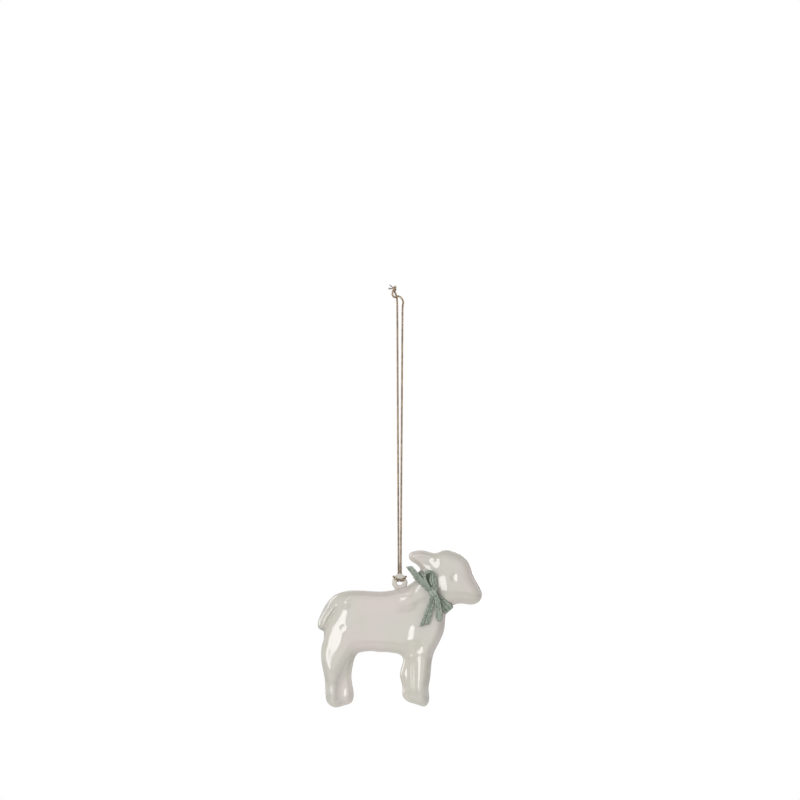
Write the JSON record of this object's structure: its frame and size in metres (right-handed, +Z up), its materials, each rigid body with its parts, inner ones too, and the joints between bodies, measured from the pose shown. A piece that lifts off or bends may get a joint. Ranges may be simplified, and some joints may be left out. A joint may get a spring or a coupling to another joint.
{
  "type": "hanging lamb ornament",
  "caption": "Flat hanging lamb ornament with a glossy pearl enamel finish, a ribbon bow round the neck and a twisted cord loop hitched through a ring on its back.",
  "frame": {"origin": "the hang point inside the top of the cord loop, midway between the strands", "axes": "+X towards the lamb's muzzle, +Y from the front face to the back face, +Z up along the cord"},
  "size_m": [0.0806, 0.017, 0.2078],
  "materials": {
    "enamel": "high-gloss pearl enamel",
    "ribbon": "woven, soft sheen",
    "cord": "two-ply twist, matt"
  },
  "bodies": {
    "cord": {"left_cord_strand": "cord", "right_cord_strand": "cord", "cord_knot": "cord", "cord_ends": "cord"},
    "hitch": {"cord_hitch": "cord"},
    "lamb": {"front_shell": "enamel", "back_shell": "enamel", "hanging_ring": "enamel", "neck_ribbon": "ribbon", "bow_knot": "ribbon", "upper_bow_loop": "ribbon", "lower_bow_loop": "ribbon", "upper_ribbon_tail": "ribbon", "lower_ribbon_tail": "ribbon"}
  },
  "joints": [
    {"name": "cord_twist", "type": "hinge", "parent": "cord", "child": "hitch", "pos_m": [0, 0, -0.1306], "axis": [0, 0, 1], "range_deg": [-180, 180]},
    {"name": "ring_swing", "type": "hinge", "parent": "hitch", "child": "lamb", "pos_m": [0, -0.0015, -0.1391], "axis": [0, 1, 0], "range_deg": [-12, 45]}
  ]
}
